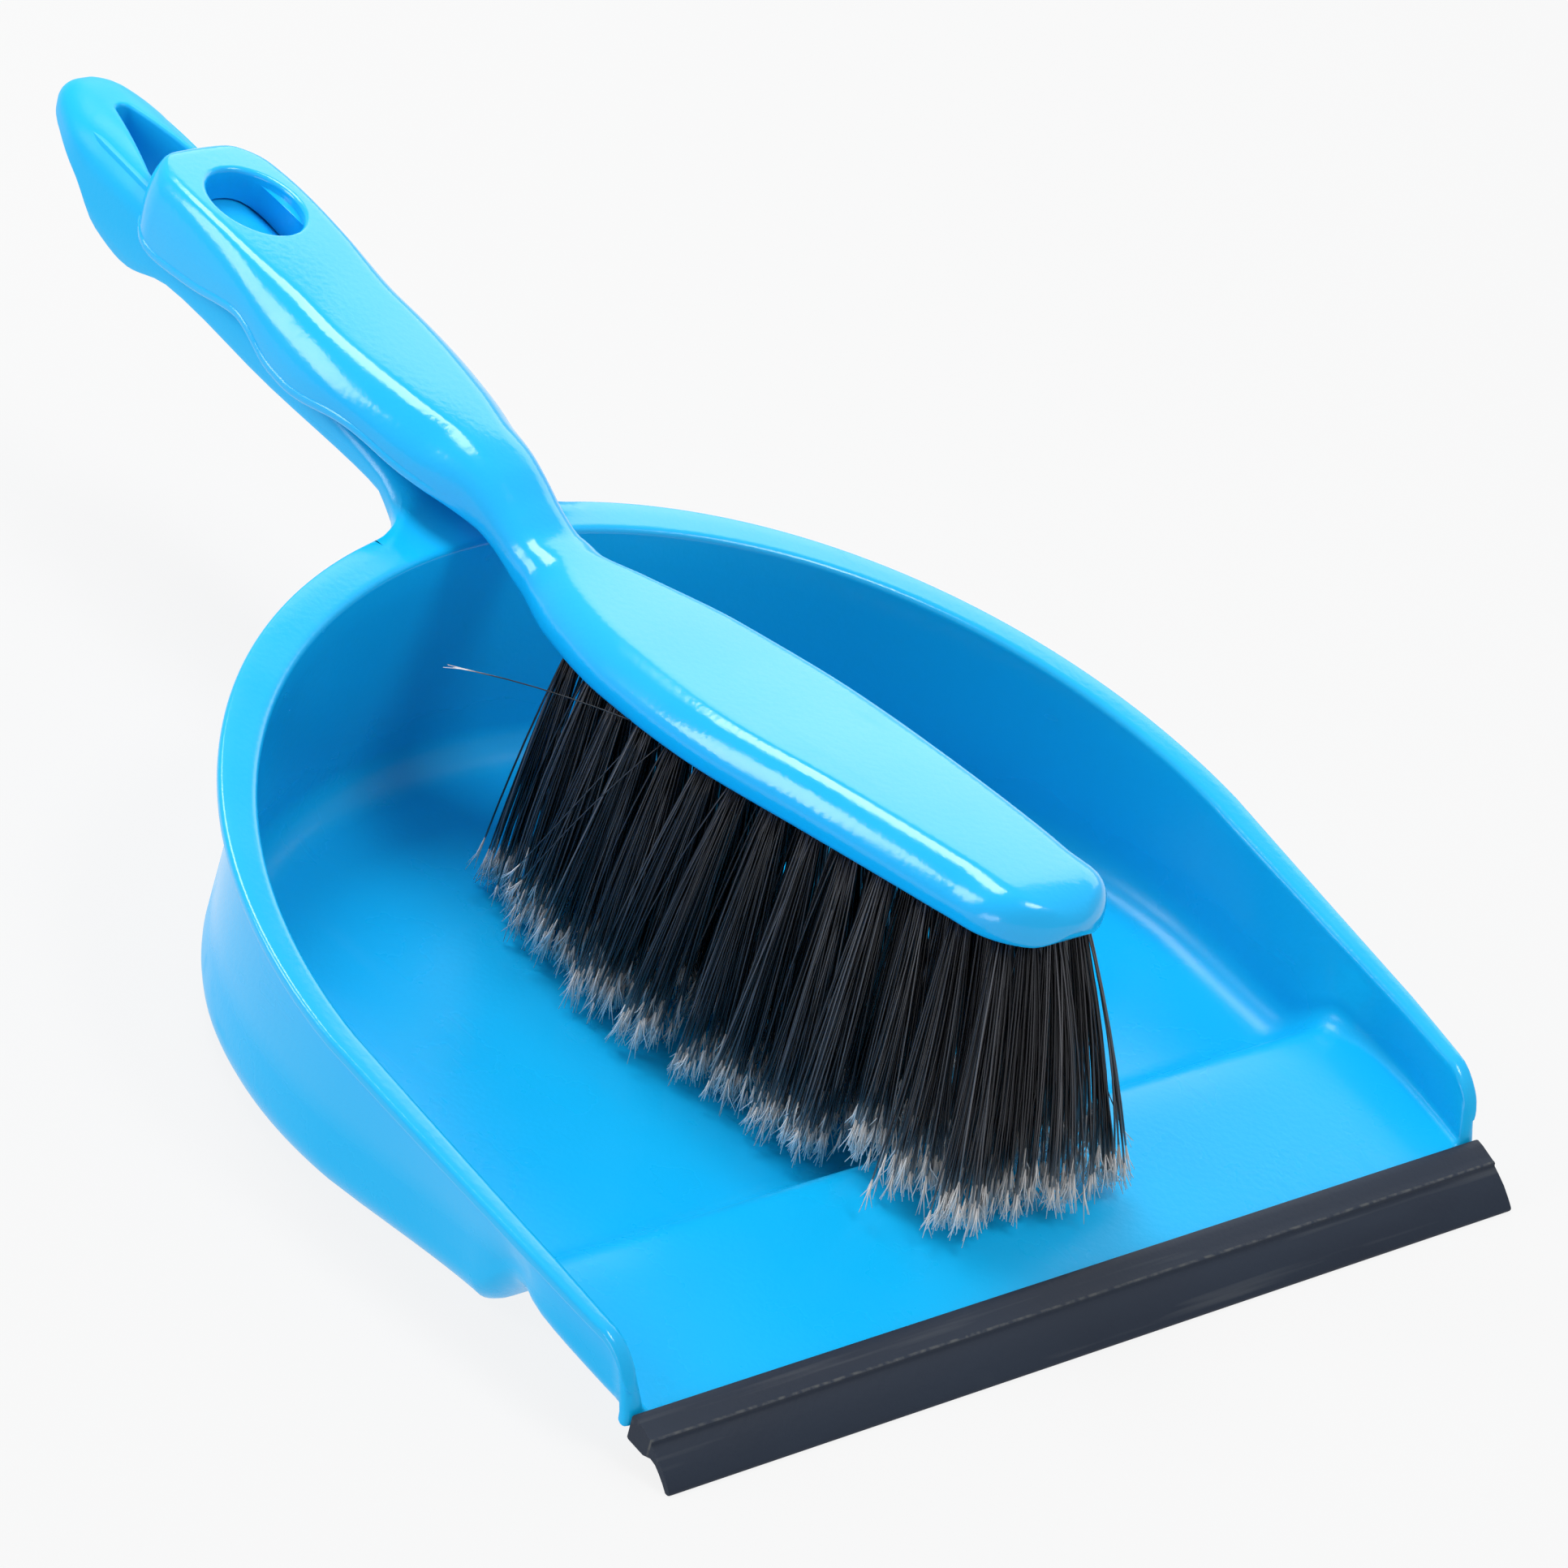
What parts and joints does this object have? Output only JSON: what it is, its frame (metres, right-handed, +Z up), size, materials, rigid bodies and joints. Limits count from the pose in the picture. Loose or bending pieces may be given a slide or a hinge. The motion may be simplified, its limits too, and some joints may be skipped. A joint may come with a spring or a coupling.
{
  "type": "dust pan and brush set",
  "caption": "Hand brush with splayed bristle tufts nested on the handle of a moulded dust pan with a rubber lip and a hang slot; the brush lifts off.",
  "frame": {"origin": "on the ground below the middle of the set's length and width", "axes": "+Z up from the ground, +Y from the lip to the end of the pan's handle, +X to the right when the lip is nearest"},
  "size_m": [0.2352, 0.362, 0.0892],
  "materials": {
    "pan_plastic": "glossy bright blue moulded polypropylene",
    "lip_rubber": "matt dark slate grey rubber",
    "brush_plastic": "glossy bright blue moulded polypropylene",
    "bristle_filament": "fine black filaments with pale split tips"
  },
  "bodies": {
    "pan": {"dust_pan": "pan_plastic", "lip_strip": "lip_rubber"},
    "brush": {"brush_stock": "brush_plastic", "bristle_tuft_01": "bristle_filament", "bristle_tuft_02": "bristle_filament", "bristle_tuft_03": "bristle_filament", "bristle_tuft_04": "bristle_filament", "bristle_tuft_05": "bristle_filament", "bristle_tuft_06": "bristle_filament", "bristle_tuft_07": "bristle_filament", "bristle_tuft_08": "bristle_filament", "bristle_tuft_09": "bristle_filament", "bristle_tuft_10": "bristle_filament", "bristle_tuft_11": "bristle_filament", "bristle_tuft_12": "bristle_filament", "bristle_tuft_13": "bristle_filament", "bristle_tuft_14": "bristle_filament", "bristle_tuft_15": "bristle_filament", "bristle_tuft_16": "bristle_filament", "bristle_tuft_17": "bristle_filament", "bristle_tuft_18": "bristle_filament", "bristle_tuft_19": "bristle_filament", "bristle_tuft_20": "bristle_filament", "bristle_tuft_21": "bristle_filament", "bristle_tuft_22": "bristle_filament", "bristle_tuft_23": "bristle_filament", "bristle_tuft_24": "bristle_filament", "bristle_tuft_25": "bristle_filament", "bristle_tuft_26": "bristle_filament", "bristle_tuft_27": "bristle_filament", "bristle_tuft_28": "bristle_filament", "bristle_tuft_29": "bristle_filament", "bristle_tuft_30": "bristle_filament", "bristle_tuft_31": "bristle_filament", "bristle_tuft_32": "bristle_filament", "bristle_tuft_33": "bristle_filament", "bristle_tuft_34": "bristle_filament", "bristle_tuft_35": "bristle_filament", "bristle_tuft_36": "bristle_filament", "bristle_tuft_37": "bristle_filament", "bristle_tuft_38": "bristle_filament", "bristle_tuft_39": "bristle_filament", "bristle_tuft_40": "bristle_filament", "bristle_tuft_41": "bristle_filament", "bristle_tuft_42": "bristle_filament", "bristle_tuft_43": "bristle_filament", "bristle_tuft_44": "bristle_filament", "bristle_tuft_45": "bristle_filament", "bristle_tuft_46": "bristle_filament", "bristle_tuft_47": "bristle_filament", "bristle_tuft_48": "bristle_filament", "bristle_tuft_49": "bristle_filament", "bristle_tuft_50": "bristle_filament", "bristle_tuft_51": "bristle_filament", "bristle_tuft_52": "bristle_filament", "bristle_tuft_53": "bristle_filament", "bristle_tuft_54": "bristle_filament", "bristle_tuft_55": "bristle_filament", "bristle_tuft_56": "bristle_filament"}
  },
  "joints": [
    {"name": "brush_lift", "type": "slide", "parent": "pan", "child": "brush", "axis": [0, 0, 1], "range_m": [0, 0.16]}
  ]
}
